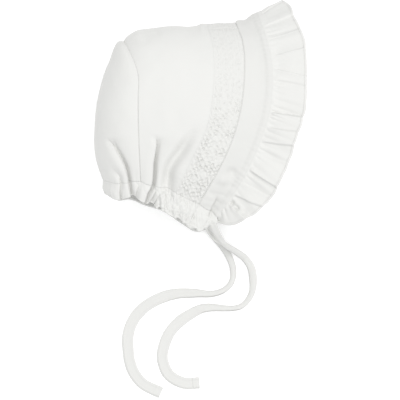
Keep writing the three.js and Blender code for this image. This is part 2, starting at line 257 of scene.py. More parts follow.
# Topstitching: thread, one stitch every pitch, and how far from the edge each line of it runs
STITCH_RADIUS = 0.00013
STITCH_PITCH = 0.0022
STITCH_LENGTH = 0.0015
RUFFLE_STITCHING = 0.0018
CASING_STITCHING = 0.0026

# Cloth never lies quite even, and the elastic crinkles the casing
SOFT_WAVES = named_rows("height size seed", [
    (0.0006, 0.024, 3),
    (0.00022, 0.009, 4),
])
CRINKLES = named_rows("height size seed", [
    (0.7, 0.0019, 66),
    (0.6, 0.0034, 67),
    (0.5, 0.0012, 68),
])

# Smocking: rows of diamonds across the band, one every pitch along it, below a crease along its top
SMOCKING_ROWS = 5
SMOCKING_PITCH = 0.0046
SMOCKING_HEIGHT = 0.00125
SMOCKING_STITCH = {"length": 0.001, "radius": 0.8 * STITCH_RADIUS, "above_neck": 0.003, "nearness": 0.02}
TOP_CREASE = 0.069
PATCHES = named_rows("height size seed", [
    (0.7, 0.0050, 34),
    (0.5, 0.0024, 37),
])

# The tone and colour of the cloth, lit by a sky all round and one broad soft light. The smocking and the
# folded front band are the same cloth, given a little darker colour as painted shade.
CLOTH_COLOR = (0.700, 0.700, 0.684)
SMOCKING_PAINTED_SHADE_COLOR = (0.684, 0.684, 0.668)
BAND_PAINTED_SHADE_COLOR = (0.672, 0.672, 0.657)
KNIT_PITCH = 0.0007
KNIT_RIDGE = 0.00006
SKY_COLOR = (0.985, 0.992, 1.0)
SKY_STRENGTH = 0.73
LIGHT_COLOR = (1.0, 0.995, 0.98)
LIGHT_POWER = 13.5
LIGHT_SIZE = 1.5
LIGHT_PLACE = (0.19, 0.07, 1.30)
FLOOR_REACH = 12.0


# Camera

def add_object(name, data):
    made = bpy.data.objects.new(name, data)
    bpy.context.scene.collection.objects.link(made)
    return made


def make_camera():
    camera = add_object("camera", bpy.data.cameras.new("camera"))
    bpy.context.scene.camera = camera
    camera.location = (*VIEW_CENTRE, VIEW_HEIGHT)
    camera.data.sensor_width = SENSOR_WIDTH
    camera.data.lens = SENSOR_WIDTH * (VIEW_HEIGHT - VIEW_PLANE) / VIEW_WIDTH


# Lines and surfaces

def smooth_line(points):
    """A centripetal Catmull-Rom line through the points, as a function of the share of its length."""
    p = np.array(points, float)
    p = np.vstack([2 * p[0] - p[1], p, 2 * p[-1] - p[-2]])
    stations = 40
    t = np.linspace(0, 1, stations)[:, None]
    runs = []
    for p0, p1, p2, p3 in zip(p, p[1:], p[2:], p[3:]):
        gaps = ((p0, p1), (p1, p2), (p2, p3))
        d0, d1, d2 = (math.sqrt(max(np.linalg.norm(b - a), 1e-9)) for a, b in gaps)
        leave = ((p1 - p0) / d0 - (p2 - p0) / (d0 + d1) + (p2 - p1) / d1) * d1
        arrive = ((p2 - p1) / d1 - (p3 - p1) / (d1 + d2) + (p3 - p2) / d2) * d1
        runs.append(mix(p1, p2, ease(t)) + (t**3 - 2 * t**2 + t) * leave + (t**3 - t**2) * arrive)
    line = np.vstack(runs)
    reached = distance_along(line)
    share = reached / max(reached[-1], 1e-9)

    def at(where):
        return points_at(where, share, line)

    at.length = reached[-1]
    return at


def points_at(where, places, points):
    """The points at these places along a line, whose own points lie at the given places."""
    return np.stack([np.interp(where, places, column) for column in points.T], axis=-1)


def unit(vectors):
    """The same directions, each 1 long."""
    return vectors / np.maximum(np.linalg.norm(vectors, axis=-1), 1e-12)[..., None]


def distance_along(line):
    steps = np.linalg.norm(np.diff(line, axis=0), axis=1)
    return np.concatenate([[0], np.cumsum(steps)])


def mix(a, b, share):
    return a + (b - a) * share


def ease(x):
    return x * x * (3 - 2 * x)


def smooth_step(low, high, value):
    return ease(np.clip((value - low) / (high - low), 0, 1))


def hump(offset, size):
    """1 at no offset, falling off softly over size."""
    return np.exp(-(offset / size)**2)


def drop_share(down):
    """How far down its seam line a point lies, for a share of the way from crown fold to neck."""
    round_part = CROWN_SHARE * (1 - np.cos(np.pi * np.minimum(down, 0.5)))
    return np.where(down < 0.5, round_part, mix(CROWN_SHARE, 1, (down - 0.5) / 0.5))


def stand_out(seam, down):
    """How far a seam stands from the fold line there."""
    below = np.clip((down - 0.5) / 0.5, 0, 1)
    hanging = mix(seam["half_width"], seam["neck_half_width"], below * below)
    return np.where(down < 0.5, seam["half_width"] * np.sin(np.pi * np.minimum(down, 0.5)), hanging)


def fold_line_height(down):
    return FOLD_LINE_HEIGHT - NECK_SAG * down * down


def patch(rear, front, top, neck):
    """A patch of cloth between four outlines, seen from the side."""
    rear, front, top, neck = (smooth_line(points) for points in (rear, front, top, neck))

    def at(across, drop):
        across, drop = np.clip(across, 0, 1), np.clip(drop, 0, 1)
        a, d = across[..., None], drop[..., None]
        sides = mix(rear(drop), front(drop), a)
        ends = mix(top(across), neck(across), d)
        corners = mix(mix(rear(0.0), front(0.0), a), mix(rear(1.0), front(1.0), a), d)
        return sides + ends - corners

    return at


def over_crown(rear_name, front_name, top=None, neck=None, inset=None):
    """A panel over the crown: slope runs from -1 at the far neck to 1 at the near neck."""
    rear, front = SEAMS[rear_name], SEAMS[front_name]
    top = top or [rear["line"][0], front["line"][0]]
    neck = neck or [rear["line"][-1], front["line"][-1]]
    flat = patch(rear["line"], front["line"], top, neck)

    def at(across, slope):
        down = np.abs(slope)
        if inset:
            across = across * (1 - inset(slope))
        spot = flat(across, drop_share(down))
        stand = mix(stand_out(rear, down), stand_out(front, down), across)
        return np.dstack([spot, fold_line_height(down) + np.sign(slope) * stand])

    at.neck = neck
    return at


def round_back():
    """The horseshoe at the back: turn runs from -1 at the far seam round to 1 at the near one."""
    seam = SEAMS["back"]
    flat = patch(BACK_FOLD, seam["line"], [BACK_FOLD[0], BACK_FOLD[0]], BACK_NECK)

    def at(turn, down):
        angle = np.abs(turn) * np.pi / 2
        spot = flat(1 - np.cos(angle), drop_share(down))
        stand = stand_out(seam, down) * np.sin(angle)
        return np.dstack([spot, fold_line_height(down) + np.sign(turn) * stand])

    at.neck = BACK_NECK
    return at


def ruffle_inset(slope):
    """The ruffle's outer edge draws in a little where a fold runs out of it."""
    down = np.abs(slope)
    near = sum(hump(down - fold["at_edge"], NOTCH_SIZE) * fold["rise"] / FULL_FOLD for fold in RUFFLE_FOLDS)
    far = 0.5 + 0.5 * ripple(down, 0.045, 58)
    return NOTCH_DEPTH * np.where(slope > 0, near, far)


class NeckLine:
    """The neck seam of one side. Each panel has its stretch of it, from the middle of the back."""

    def __init__(self, panels):
        self.lengths = [smooth_line(panel.neck).length for panel in panels]
        self.starts = np.concatenate([[0], np.cumsum(self.lengths)])
        share = np.linspace(0, 1, 60)
        edges = []
        for index, panel in enumerate(panels):
            turned = np.arccos(1 - share) / (np.pi / 2) if index == 0 else share
            edges.append(panel(turned[None, :], np.ones((1, len(share))))[0])
        self.ways = np.concatenate([self.way(index, share) for index in range(len(panels))])
        self.edge = np.vstack(edges)
        self.reached = distance_along(self.edge)

    def way(self, stretch, share):
        """The share of the whole seam, for a share of one panel's stretch of it."""
        return (self.starts[stretch] + share * self.lengths[stretch]) / self.starts[-1]

    def spot(self, way):
        return points_at(way, self.ways, self.edge)

    def run(self, way):
        """The distance along the seam from the middle of the back."""
        return np.interp(way, self.ways, self.reached)


def round_neck():
    """The neck casing: way runs from -1 at the far front corner round the back to 1 at the near one."""
    hem = smooth_line(NECK_HEM)
    middle = FOLD_LINE_HEIGHT - NECK_SAG

    def at(way, fall):
        size = np.clip(np.abs(way), 0, 1)
        upper, lower = neck_line.spot(size), hem(size)
        x = lower[..., 0]
        lift = sum(gap["lift"] * hump(x - gap["x"], gap["size"]) for gap in HEM_LIFTS)
        ragged = smooth_step(*RAGGED_FROM, x)
        lift = lift + RAGGED_HEIGHT * ripple(neck_line.run(size), RAGGED_PITCH, 64) * ragged
        height = np.linalg.norm(upper[..., :2] - lower, axis=-1)
        between = smooth_step(*LOWER_HEM_FROM, x) * smooth_step(*LOWER_HEM_TO, x)
        drop = fall * np.where(way > 0, 1 - lift / height, mix(*LOWER_HEM_REACH, between))
        spot = mix(upper[..., :2], lower, drop[..., None])
        stand = (upper[..., 2] - middle) * mix(1, CASING_PULL, fall)
        return np.dstack([spot, middle + np.sign(way) * stand])

    return at


# Relief

def ripple(x, pitch, seed, count=4096):
    """Smooth random heights from -1 to 1 along a line, with a new one every pitch."""
    heights = np.random.default_rng(seed).uniform(-1, 1, count)
    place = x / pitch + count // 2
    whole = np.floor(place).astype(int)
    return mix(heights[whole % count], heights[(whole + 1) % count], ease(place - whole))


def unevenness(spot, size, seed, count=64):
    """Smooth random heights from -1 to 1 over the cloth, with humps of about this size."""
    lattice = np.random.default_rng(seed).uniform(-1, 1, (count, count, count))
    place = spot / size + count // 2
    whole = np.floor(place).astype(int)
    part = ease(place - whole)
    total = np.zeros(spot.shape[:-1])
    for corner in np.ndindex(2, 2, 2):
        weight = np.where(corner, part, 1 - part).prod(axis=-1)
        index = (whole + corner) % count
        total += weight * lattice[index[..., 0], index[..., 1], index[..., 2]]
    return total


def waves(spot, layers):
    """Unevenness of several sizes, one on another."""
    return sum(layer["height"] * unevenness(spot, layer["size"], layer["seed"]) for layer in layers)


def pleats(x, pitch, seed):
    """Round-topped pleats with sharp valleys, 0 to 1 high, of uneven pitch and height along a line."""
    warped = x / pitch + 0.55 * ripple(x, 2.3 * pitch, seed)
    return np.abs(np.sin(np.pi * warped)) * (0.65 + 0.35 * ripple(x, 1.7 * pitch, seed + 1))


def gathers(x, height, pitch, seed, level=0.45):
    """Pleats of this height that rise above the cloth and sink below it by about as much."""
    return height * (pleats(x, pitch, seed) - level)


def upper_side(spot):
    return smooth_step(FOLD_LINE_HEIGHT - 0.004, FOLD_LINE_HEIGHT + 0.006, spot[..., 2])


def beside(line, spot):
    """How far spots lie from a line and to its left, and its nearest point's number and heading."""
    apart = spot[:, None] - line
    nearest = np.argmin((apart**2).sum(-1), axis=-1)
    offset = apart[np.arange(len(nearest)), nearest]
    heading = unit(np.gradient(line, axis=0))[nearest]
    side = heading[:, 0] * offset[:, 1] - heading[:, 1] * offset[:, 0]
    return np.hypot(offset[:, 0], offset[:, 1]), side, nearest, heading


def drape(spot):
    """The soft folds and dents: how far they lift the cloth, and how far they lean it over sideways."""
    height = np.zeros(spot.shape[:-1])
    lean = np.zeros(spot.shape)
    shares = np.linspace(0, 1, 80)
    for fold in DRAPE_FOLDS:
        line = smooth_line(fold["points"])(shares)
        low, high = line.min(0) - FOLD_REACH, line.max(0) + FOLD_REACH
        inside = np.all((spot[..., :2] > low) & (spot[..., :2] < high), axis=-1)
        close = inside & (spot[..., 2] > LOWEST_FOLD)
        away, side, nearest, heading = beside(line, spot[close][:, :2])
        along = shares[nearest]
        sharp = smooth_step(*fold["sharp"], along)
        creased = mix(np.exp(-away / fold["spread"]), hump(away, CREASE_WIDTH), fold["crease"])
        front = mix(hump(away, fold["spread"]), creased, sharp)
        behind = hump(away, mix(SOFT_BACK, SHARP_BACK, sharp))
        started = smooth_step(0, np.clip(fold["sharp"][1], 0.16, 0.5), along)
        strength = started * mix(0.6, 1, smooth_step(0, 0.6, along))
        height[close] -= strength * fold["depth"] * np.where(side > 0, front, behind)
        lip = hump(away - LIP["behind"], LIP["width"])
        height[close] += sharp**2 * fold["lip"] * np.where(side > 0, 0, lip)
        tuck = hump(side + TUCK["behind"], TUCK["width"])
        tuck -= UNDERCUT["share"] * hump(side - UNDERCUT["ahead"], UNDERCUT["width"])
        over = sharp * fold["tuck"] * tuck * (away < abs(side) + 0.0005)
        lean[close, 0] -= heading[:, 1] * over
        lean[close, 1] += heading[:, 0] * over
    for dent in DENTS:
        away = np.hypot(spot[..., 0] - dent["x"], spot[..., 1] - dent["y"])
        height -= dent["depth"] * hump(away, dent["size"])
    upper = upper_side(spot)
    return height * upper, lean * upper[..., None]


def top_bumps(place):
    """The silhouette along the crown's fold line is a little uneven."""
    height = sum(bump["height"] * hump(place.spot[..., 0] - bump["x"], bump["size"]) for bump in TOP_BUMPS)
    return height * hump(place.run, 0.016)


def seam_groove(distance, depth=0.00065):
    return -depth * hump(distance, 0.0005)


def neck_gathers(run, above, spot):
    """Gathers at the neck seam, fading out upwards into the panels. Below the seam they run to the hem."""
    up = np.maximum(above, 0)
    wide = gathers(run, height=0.0009, pitch=0.007, seed=17) * np.exp(-up / 0.009)
    close = gathers(run + 0.15 * above, height=0.0007, pitch=0.0027, seed=19) * np.exp(-up / 0.003)
    front = smooth_step(-0.045, -0.03, spot[..., 0])
    patchy = 0.75 + 0.75 * unevenness(spot, 0.0042, 21)
    return (mix(0.6, 1, front) * wide + front * close) * patchy


def gathers_over(stretch, place):
    """The neck gathers of a panel that has this stretch of the seam."""
    neck = np.sign(place.down) * neck_line.run(neck_line.way(stretch, place.across))
    return neck_gathers(neck, place.end, place.spot)


def back_seam(distance, down):
    """The seam between back and crown grows deeper from the crown fold down."""
    return seam_groove(distance, 0.0007 * smooth_step(0.15, 0.6, down))


def crown_relief(place):
    down = np.abs(place.down)
    height = gathers_over(1, place) + back_seam(place.left, down)
    tucks = gathers(place.run, height=0.0005, pitch=0.0038, seed=11) * smooth_step(0.25, 0.7, down)
    height += tucks * np.exp(-place.right / 0.005) * smooth_step(0, 0.002, place.right)
    return height + top_bumps(place)


def back_relief(place):
    share = 1 - np.cos(np.abs(place.across) * np.pi / 2)
    neck = np.sign(place.across) * neck_line.run(neck_line.way(0, share))
    height = neck_gathers(neck, place.end, place.spot)
    return height + back_seam(np.minimum(place.left, place.right), place.down)


def smocking_cells(place):
    """Where a point lies in the lattice of diamonds: across the band, and along it."""
    p = place.across * SMOCKING_ROWS + 0.3 * ripple(place.run, 0.009, 31)
    q = place.run / SMOCKING_PITCH + 0.4 * ripple(place.run, 0.012, 33)
    p += 0.28 * unevenness(place.spot, 0.0036, 36)
    q += 0.5 * unevenness(place.spot, 0.0044, 32)
    return p, q


def smocking_relief(place):
    """Rows of small diamonds across the band, drawn up more and more towards the neck."""
    p, q = smocking_cells(place)
    cell = (np.cos(2 * np.pi * p) + np.cos(2 * np.pi * q)) / 2
    ridge = 1 - np.abs(cell)
    pinch = np.maximum(cell, 0)**1.5
    drawn = smooth_step(0.3, 0.75, np.abs(place.down))
    patchy = np.clip(0.8 + waves(place.spot, PATCHES), 0.15, 1.45)
    inside = smooth_step(0, 0.0022, place.left) * smooth_step(0, 0.0012, place.right)
    height = SMOCKING_HEIGHT * mix(0.2, 1, drawn) * patchy * inside * (0.8 * ridge - 0.6 * pinch)
    wandering = place.left + 0.0008 * ripple(place.run, 0.007, 38)
    streaks = gathers(wandering, height=0.0007, pitch=0.0024, seed=39)
    height += streaks * inside * (1 - 0.6 * drawn) * (0.6 + 0.6 * unevenness(place.spot, 0.006, 40))
    height += gathers_over(2, place)
    height += seam_groove(place.spot[..., 1] - TOP_CREASE, 0.0004) * inside * upper_side(place.spot)
    return height + seam_groove(place.right) + top_bumps(place)


def strip_start(down):
    """Where the raised strip beside the ruffle begins, as a share of the front band's width."""
    return mix(0.7, 0.8, down)


def band_relief(place):
    down = np.abs(place.down)
    start = strip_start(down)
    height = seam_groove(place.left)
    strip = 0.0007 * smooth_step(start - 0.04, start + 0.16, place.across)
    hollow = 0.0012 * hump(place.across - start + 0.2, 0.34)
    crumpled = gathers(place.run + 0.3 * place.left, height=0.0006, pitch=0.0085, seed=41)
    crumpled *= smooth_step(0.6, 0.95, down)
    puckers = gathers(place.run - 0.2 * place.left, height=0.0004, pitch=0.0045, seed=43)
    puckers *= hump(place.right - 0.003, 0.004)
    return height + strip - hollow + crumpled + puckers + 0.6 * gathers_over(3, place) + top_bumps(place)


def ruffle_relief(place):
    """Fine gathers at the seam that run out into wider folds at the edge."""
    down = np.abs(place.down)
    out = place.across
    length = mix(0.15, 0.6, 0.5 + 0.5 * ripple(place.run, 0.005, 57))
    wandering = place.run + 0.004 * out * ripple(place.run, 0.014, 51)
    fine = gathers(wandering, height=0.0017, pitch=0.0052, seed=52)
    gathered = mix(0.3, 1, smooth_step(-0.5, 0.4, ripple(place.run, 0.012, 59)))
    height = fine * gathered * np.exp(-out / length) * smooth_step(0, 0.12, out)
    wide = ripple(place.run + 0.003 * out, 0.0105, 53) + 0.5 * ripple(place.run, 0.0055, 54)
    height += 0.0015 * wide * smooth_step(0, 0.6, out)
    folds = np.zeros_like(down)
    for fold in RUFFLE_FOLDS:
        side = (down - mix(fold["at_seam"], fold["at_edge"], out)) * -fold["lean"]
        lip = np.exp(-np.maximum(side, 0) / (fold["spread"] * mix(0.5, 1, out)))
        valley = -0.55 * np.exp(np.minimum(side, 0) / (0.02 * mix(0.5, 1, out)))
        shape = mix(valley, lip, smooth_step(-0.0035, 0.0035, side))
        folds += fold["rise"] * shape * smooth_step(0.02, 0.2, out)
    other = 0.0022 * pleats(place.run, 0.013, 55) * smooth_step(0, 0.5, out)
    height += mix(other, folds, upper_side(place.spot))
    hem = 0.00025 * smooth_step(0.0017, 0.0013, place.right)
    stitched = 0.0003 * hump(place.right - RUFFLE_STITCHING, 0.0003)
    swelling = 0.0008 * hump(place.run, 0.008) * hump(place.left - 0.01, 0.008)
    return height + hem - stitched + swelling - 0.0004


def casing_relief(place):
    """Elastic draws the casing up: wide soft pleats at the back, and close crinkles towards the front."""
    run = np.sign(place.across) * neck_line.run(np.abs(place.across))
    fall = place.down
    front = smooth_step(-0.04, -0.028, place.spot[..., 0])
    height = neck_gathers(run, -place.top, place.spot) * mix(1, 0.4, fall)
    slanted = run + 0.0015 * np.sin(np.pi * fall) * ripple(run, 0.005, 61)
    patchy = 0.8 + 0.7 * unevenness(place.spot, 0.004, 65)
    close = gathers(slanted, height=0.0003, pitch=0.0025, seed=62, level=0.5) * front
    wide = gathers(slanted, height=0.0016, pitch=0.0066, seed=63, level=0.5) * mix(1, 0.35, front)
    crepe = front * mix(1, 0.35, smooth_step(-0.01, 0, place.spot[..., 0]))
    crinkled = 0.0014 * waves(place.spot, CRINKLES) * crepe * smooth_step(0, 0.15, fall)
    rounded = 0.001 * np.sin(np.pi * np.clip(fall, 0, 1))**2
    return height + (close + wide) * fall * patchy + crinkled + rounded


# Meshes

def build_mesh(name, points, quads, uv=None, flat_faces=0):
    """A mesh with smooth faces, apart from the last few, which close its ends or form its cut edges."""
    mesh = bpy.data.meshes.new(name)
    mesh.vertices.add(points.size // 3)
    mesh.vertices.foreach_set("co", np.asarray(points - MIDDLE, np.float32).ravel())
    mesh.loops.add(quads.size)
    mesh.loops.foreach_set("vertex_index", quads.ravel().astype(np.int32))
    mesh.polygons.add(len(quads))
    mesh.polygons.foreach_set("loop_start", np.arange(0, quads.size, 4, dtype=np.int32))
    mesh.polygons.foreach_set("use_smooth", np.arange(len(quads)) < len(quads) - flat_faces)
    if uv is not None:
        layer = mesh.uv_layers.new(name="cloth")
        layer.data.foreach_set("uv", np.asarray(uv, np.float32)[quads.ravel()].ravel())
    mesh.update(calc_edges=True)
    mesh.validate()
    return add_object(name, mesh)


def outward(surface, across, down, step=0.002):
    onward = surface(across + step, down) - surface(across - step, down)
    downward = surface(across, down + step) - surface(across, down - step)
    return unit(np.cross(downward, onward))


def crowded(low, high, count, closer):
    """Places from low to high that are closer together at both ends."""
    share = np.linspace(0, 1, count + 1)
    return mix(low, high, share - closer * np.sin(2 * np.pi * share) / (2 * np.pi))


def survey(surface, columns, rows, across=(0, 1), down=(-1, 1), crowd=0.75, crowd_down=0):
    """The places of a grid on a surface, with their distances from its sides and ends."""
    mirrored = down[0] < 0
    fold_row = rows // 2 if mirrored else 0
    across, down = np.meshgrid(crowded(*across, columns, crowd), crowded(*down, rows, crowd_down))
    spot = surface(across, down)

    def reached(axis):
        steps = np.diff(spot, axis=axis, prepend=spot.take([0], axis))
        return np.cumsum(np.linalg.norm(steps, axis=-1), axis=axis)

    left, below = reached(1), reached(0)
    return SimpleNamespace(
        across=across, down=down, spot=spot, normal=outward(surface, across, down),
        left=left, right=left[:, -1:] - left, top=below,
        end=np.minimum(below, below[-1:] - below) if mirrored else below[-1:] - below,
        run=np.broadcast_to((below - below[fold_row]).mean(axis=1)[:, None], below.shape),
        uv=np.dstack([left, below]).reshape(-1, 2),
    )


def grid_quads(shape):
    """Faces of a closed wall: outer skin, inner skin and the four edges."""
    number = np.arange(np.prod(shape)).reshape(shape)
    inner = number + number.size

    def strip(*corners):
        return np.stack([corner.ravel() for corner in corners], axis=1)

    return np.vstack([
        strip(number[:-1, :-1], number[1:, :-1], number[1:, 1:], number[:-1, 1:]),
        strip(inner[:-1, :-1], inner[:-1, 1:], inner[1:, 1:], inner[1:, :-1]),
        strip(number[0, :-1], number[0, 1:], inner[0, 1:], inner[0, :-1]),
        strip(number[-1, 1:], number[-1, :-1], inner[-1, :-1], inner[-1, 1:]),
        strip(number[1:, 0], number[:-1, 0], inner[:-1, 0], inner[1:, 0]),
        strip(number[:-1, -1], number[1:, -1], inner[1:, -1], inner[:-1, -1]),
    ])


def cloth_wall(name, place, relief, wall, thinning=None, sewn=None):
    """A closed wall of cloth. What would sink below the floor is pressed flat on it."""
    lift, lean = drape(place.spot)
    lift = lift + relief(place) + waves(place.spot, SOFT_WAVES)
    outer = place.spot + place.normal * lift[..., None] + lean
    if sewn:
        outer = sewn(place, outer)
    outer[..., 2] = np.maximum(outer[..., 2], OVER_FLOOR)
    full = np.ones_like(place.across) if thinning is None else thinning(place)
    middle = outer - place.normal * wall / 2
    half = place.normal * (wall / 2 * full)[..., None]
    outer, inner = middle + half, middle - half
    lying = place.normal[..., 2] < LYING_NORMAL
    lowest = outer[..., 2] + wall * PRESSED_SHARE * full
    inner[..., 2] = np.where(lying, np.maximum(inner[..., 2], lowest), inner[..., 2])
    size = place.across.shape
    piece = build_mesh(name, np.stack([outer, inner]), grid_quads(size), np.vstack([place.uv, place.uv]),
                       flat_faces=2 * sum(size) - 4)
    return SimpleNamespace(piece=piece, place=place, outer=outer)


def line_through(where, points):
    """The points of a line as a function of where they lie along it."""
    order = np.argsort(where)
    return lambda at: points_at(at, where[order], points[order])


def sewn_to_crown(place, outer):
    """The back panel's two edges follow the crown panel's seam."""
    seam = line_through(crown.place.down[:, 0], crown.outer[:, 0])
    reach = np.minimum(SEWN_REACH["back"], (place.left + place.right) / 2)
    for side, column, away in ((1, -1, place.right), (-1, 0, place.left)):
        pull = seam(side * place.down[:, column]) - outer[:, column]
        outer = outer + pull[:, None] * smooth_step(1, 0, away / reach)[..., None]
    return outer


def sewn_to_panels(place, outer):
    """The casing's upper edge follows the panels' outer edge at the neck."""
    across = back.place.across[-1]
    ways = [np.sign(across) * neck_line.way(0, 1 - np.cos(np.abs(across) * np.pi / 2))]
    edges = [back.outer[-1]]
    for stretch, wall in enumerate((crown, smocking, band), 1):
        way = neck_line.way(stretch, wall.place.across[-1])
        ways += [way, -way]
        edges += [wall.outer[-1], wall.outer[0]]
    seam = line_through(np.concatenate(ways), np.concatenate(edges))
    pull = seam(place.across[0]) - outer[0]
    return outer + pull * smooth_step(SEWN_REACH["casing"], 0, place.down)[..., None]


def sewn_beside(neighbour):
    """The wall's rear edge follows the front edge of the wall before it."""
    seam = line_through(neighbour.place.down[:, -1], neighbour.outer[:, -1])

    def sewn(place, outer):
        pull = seam(place.down[:, 0]) - outer[:, 0]
        return outer + pull[:, None] * smooth_step(SEWN_REACH["panels"], 0, place.across)[..., None]

    return sewn


def rounded_end(distance, reach):
    """The share of its thickness that cloth keeps at this distance from a rolled edge."""
    return np.sqrt(np.clip(1 - (1 - np.clip(distance / reach, 0, 1))**2, 0.02, 1))


def tube_quads(shape):
    """Faces of closed tubes, from the numbers of tubes, rings along each, and points round each ring."""
    number = np.arange(np.prod(shape)).reshape(shape)
    following = np.roll(number, -1, axis=2)
    skin = np.stack([number[:, :-1], following[:, :-1], following[:, 1:], number[:, 1:]], axis=-1)
    caps = [ring[:, [i, -i - 1, -i - 2, i + 1]] for ring in (number[:, 0], number[:, -1, ::-1])
            for i in range(shape[2] // 2 - 1)]
    return np.vstack([skin.reshape(-1, 4), *caps])


def thread(name, starts, ends, normals, radius):
    """Small bowed stitches, each a short round thread from its start to its end."""
    stations = np.linspace(0, 1, 5)[None, :, None]
    sides = 6
    middle = mix(starts[:, None], ends[:, None], stations)
    middle = middle + normals[:, None] * radius * np.sin(np.pi * stations)
    ahead = unit(ends - starts)
    side = unit(np.cross(normals, ahead))
    over = np.cross(ahead, side)
    thick = radius * np.sqrt(1 - 0.85 * (2 * stations - 1)**2)[..., None]
    angle = np.linspace(0, 2 * np.pi, sides, endpoint=False)[:, None]
    ring = side[:, None] * np.cos(angle) + over[:, None] * np.sin(angle)
    points = middle[:, :, None] + thick * ring[:, None]
    return build_mesh(name, points, tube_quads(points.shape[:3]))


def smocking_stitches(name, wall):
    """A small stitch across each point where the smocking is drawn together."""
    p, q = (values.ravel() for values in smocking_cells(wall.place))
    row, column = np.round(p), np.round(q)
    apart = (p - row)**2 + (q - column)**2
    inside = (row > 0) & (row < SMOCKING_ROWS) & (wall.place.end.ravel() > SMOCKING_STITCH["above_neck"])
    cell = row * 1000 + column
    order = np.lexsort((apart, cell))
    chosen = order[np.unique(cell[order], return_index=True)[1]]
    chosen = chosen[inside[chosen] & (apart[chosen] < SMOCKING_STITCH["nearness"])]
    along = unit(np.gradient(wall.outer, axis=0).reshape(-1, 3)[chosen])
    normals = wall.place.normal.reshape(-1, 3)[chosen]
    points = wall.outer.reshape(-1, 3)[chosen] + normals * STITCH_RADIUS * 0.5
    half = along * SMOCKING_STITCH["length"] / 2
    return thread(name, points - half, points + half, normals, SMOCKING_STITCH["radius"])


def running_stitch(name, wall, part):
    """A line of stitches along one row or column of the cloth's grid."""
    line, normals = wall.outer[part], wall.place.normal[part]
    reached = distance_along(line)
    starts = np.arange(STITCH_PITCH, reached[-1] - STITCH_PITCH, STITCH_PITCH)
    return thread(name, points_at(starts, reached, line), points_at(starts + STITCH_LENGTH, reached, line),
                  points_at(starts, reached, normals), STITCH_RADIUS)


def tie(name, facts):
    """A flat tube of jersey with a hemmed end, and the line through its middle."""
    around = 56
    line = smooth_line(facts["coming_down"] + [(x, y, TIE_LYING_HEIGHT) for x, y in facts["lying"]])
    hemmed = line.length - 1.4 * TIE_HEM
    plain = np.linspace(0, hemmed, 270, endpoint=False)
    along = np.concatenate([plain, np.linspace(hemmed, line.length, 50)])
    middle = line(along / line.length)

    def table(key):
        values = np.interp(along, *zip(*facts[key]))
        for _ in range(TIE_SMOOTHING):
            values[1:-1] = (values[:-2] + 2 * values[1:-1] + values[2:]) / 4
        return values

    turn = np.radians(table("turn"))
    thickness = table("thickness")
    width = table("width") * (1 + 0.025 * ripple(along, 0.013, 71))
    droop = table("droop")
    half_height = (width * np.sin(turn) + thickness * np.cos(turn)) / 2
    middle[:, 2] = np.maximum(middle[:, 2], half_height + 0.0001)
    ahead = unit(np.gradient(middle, axis=0))
    level = unit(np.cross([0, 0, 1], ahead))
    over = np.cross(ahead, level)
    wide = level * np.cos(turn)[:, None] + over * np.sin(turn)[:, None]
    thick = over * np.cos(turn)[:, None] - level * np.sin(turn)[:, None]
    angle = np.linspace(0, 2 * np.pi, around, endpoint=False)
    flat = smooth_step(*ROUND_TO_FLAT, width)[:, None]
    side, face = (np.sign(x) * np.abs(x)**mix(1, FLAT_POWER, flat) for x in (np.cos(angle), np.sin(angle)))
    from_middle = np.abs(side)
    pressed = 0.56 + 0.5 * smooth_step(0.45, 0.8, from_middle) - 0.22 * hump(from_middle - 0.8, 0.07)
    from_end = line.length - along
    hem = 1 + 0.3 * facts["hem"] * smooth_step(TIE_HEM + 0.0003, TIE_HEM - 0.0003, from_end)
    stitched = 1 - 0.6 * facts["hem"] * hump(from_end - TIE_HEM, 0.0005)
    ends = rounded_end(np.minimum(along, from_end), TIE_END)
    across = side * (width / 2 * mix(0.94, 1, ends))[:, None]
    depth = thickness / 2 * hem * stitched * ends * (1 + 0.08 * ripple(along, 0.007, 72))
    lift = face * mix(1, pressed, flat) * depth[:, None]
    lift = lift + 0.00022 * ripple(along, 0.009, 73)[:, None] * side
    lift = lift - droop[:, None] * (hump(side + 0.5, 0.34) + 0.25 * smooth_step(0, -0.5, side))
    rolled = smooth_step(0.1, 0.8, -np.sign(side) * (level @ ROLLED_SIDE)[:, None])
    lift = lift - 0.7 * depth[:, None] * rolled * smooth_step(0.66, 0.98, from_middle) * (face > 0)
    points = middle[:, None] + wide[:, None] * across[..., None] + thick[:, None] * lift[..., None]
    points[..., 2] = np.maximum(points[..., 2], OVER_FLOOR)
    flat_width = np.linspace(0, 2 * TIE_WIDTH, around)
    uv = np.dstack(np.broadcast_arrays(flat_width[None, :], along[:, None])).reshape(-1, 2)
    piece = build_mesh(name, points, tube_quads((1, len(along), around)), uv, flat_faces=around - 2)
    return piece, middle - MIDDLE


# Cloth and floor materials

def fill_in(tree, node, inputs):
    """Give each named input its value, or link it to another node's output."""
    for name, value in inputs.items():
        if isinstance(value, bpy.types.NodeSocket):
            tree.links.new(value, node.inputs[name])
        else:
            node.inputs[name].default_value = value


def noise(tree, place, scale, detail):
    node = tree.nodes.new("ShaderNodeTexNoise")
    fill_in(tree, node, {"Vector": place["Object"], "Scale": scale, "Detail": detail})
    return node.outputs["Fac"]


def knit(tree, place, direction, inputs):
    """Ridges that run straight or slanting over the cloth, one every KNIT_PITCH."""
    node = tree.nodes.new("ShaderNodeTexWave")
    node.bands_direction = direction
    fill_in(tree, node, {"Vector": place["UV"], "Scale": math.tau / 20 / KNIT_PITCH, **inputs})
    return node.outputs["Fac"]


def added(tree, one, other):
    node = tree.nodes.new("ShaderNodeMath")
    node.operation = "ADD"
    fill_in(tree, node, {0: one, 1: other})
    return node.outputs[0]


